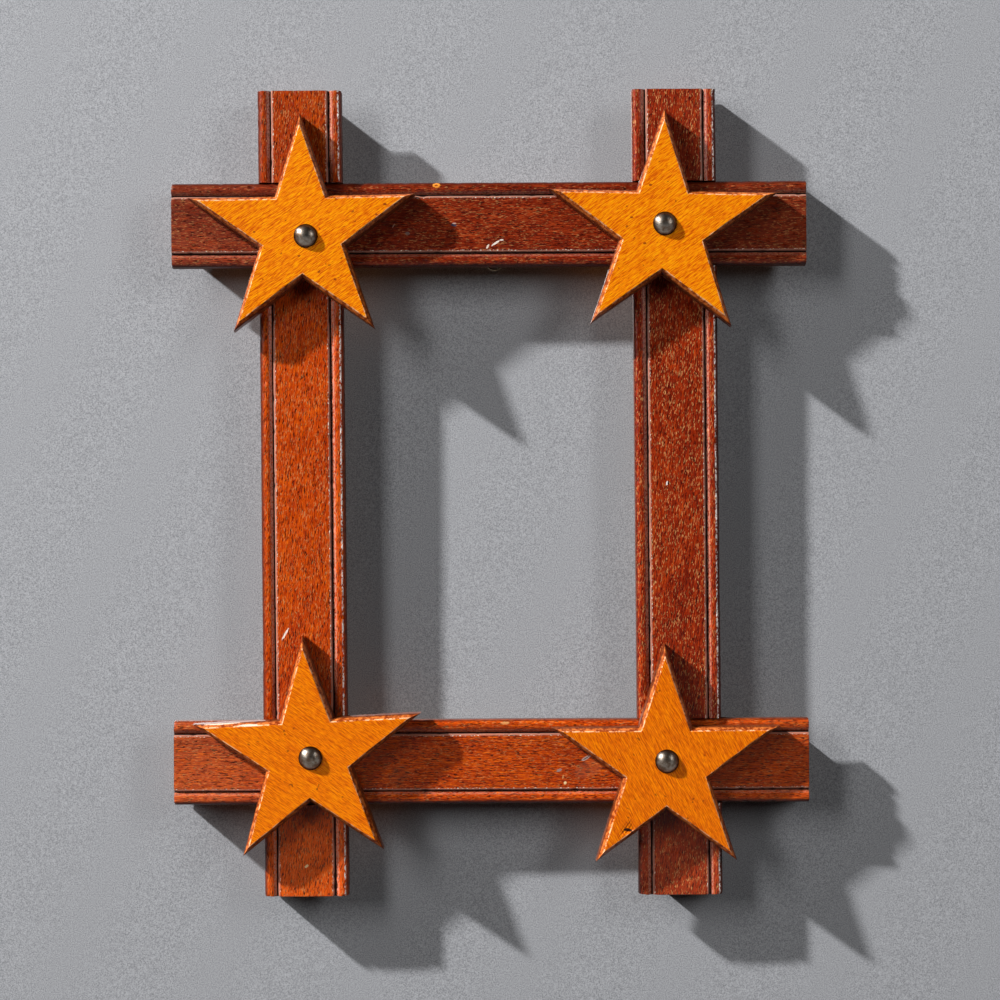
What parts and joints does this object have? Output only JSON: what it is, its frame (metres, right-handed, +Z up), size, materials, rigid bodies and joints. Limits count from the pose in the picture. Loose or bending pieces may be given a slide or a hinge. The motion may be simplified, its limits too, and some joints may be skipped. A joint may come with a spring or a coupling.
{
  "type": "picture frame",
  "caption": "Wall-hung picture frame of half-lapped, quirk-beaded walnut bars crossing past the corners, with a chamfered star nailed on each crossing and a hanging ring in the rebate.",
  "frame": {"origin": "centre of the picture opening on the plane of the frame's back", "axes": "+X to the right as seen from the front, +Y into the wall, +Z up along the stiles"},
  "size_m": [0.3016, 0.0317, 0.3824],
  "materials": {
    "walnut": "reddish brown varnish, satin, worn along the beads",
    "star_wood": "amber orange varnish, satin, with darker chamfers",
    "nail_metal": "dark polished dome",
    "hanger_brass": "dull aged brass wire"
  },
  "bodies": {
    "frame": {"top_rail": "walnut", "bottom_rail": "walnut", "left_stile": "walnut", "right_stile": "walnut", "star_top_left": "star_wood", "star_top_right": "star_wood", "star_bottom_left": "star_wood", "star_bottom_right": "star_wood", "nail_top_left": "nail_metal", "nail_top_right": "nail_metal", "nail_bottom_left": "nail_metal", "nail_bottom_right": "nail_metal", "screw_eye": "hanger_brass"},
    "ring": {"hanging_ring": "hanger_brass"}
  },
  "joints": [
    {"name": "ring_swing", "type": "hinge", "parent": "frame", "child": "ring", "pos_m": [0.0025, -0.0029, 0.11565], "axis": [1, 0, 0], "range_deg": [-58, 122]}
  ]
}
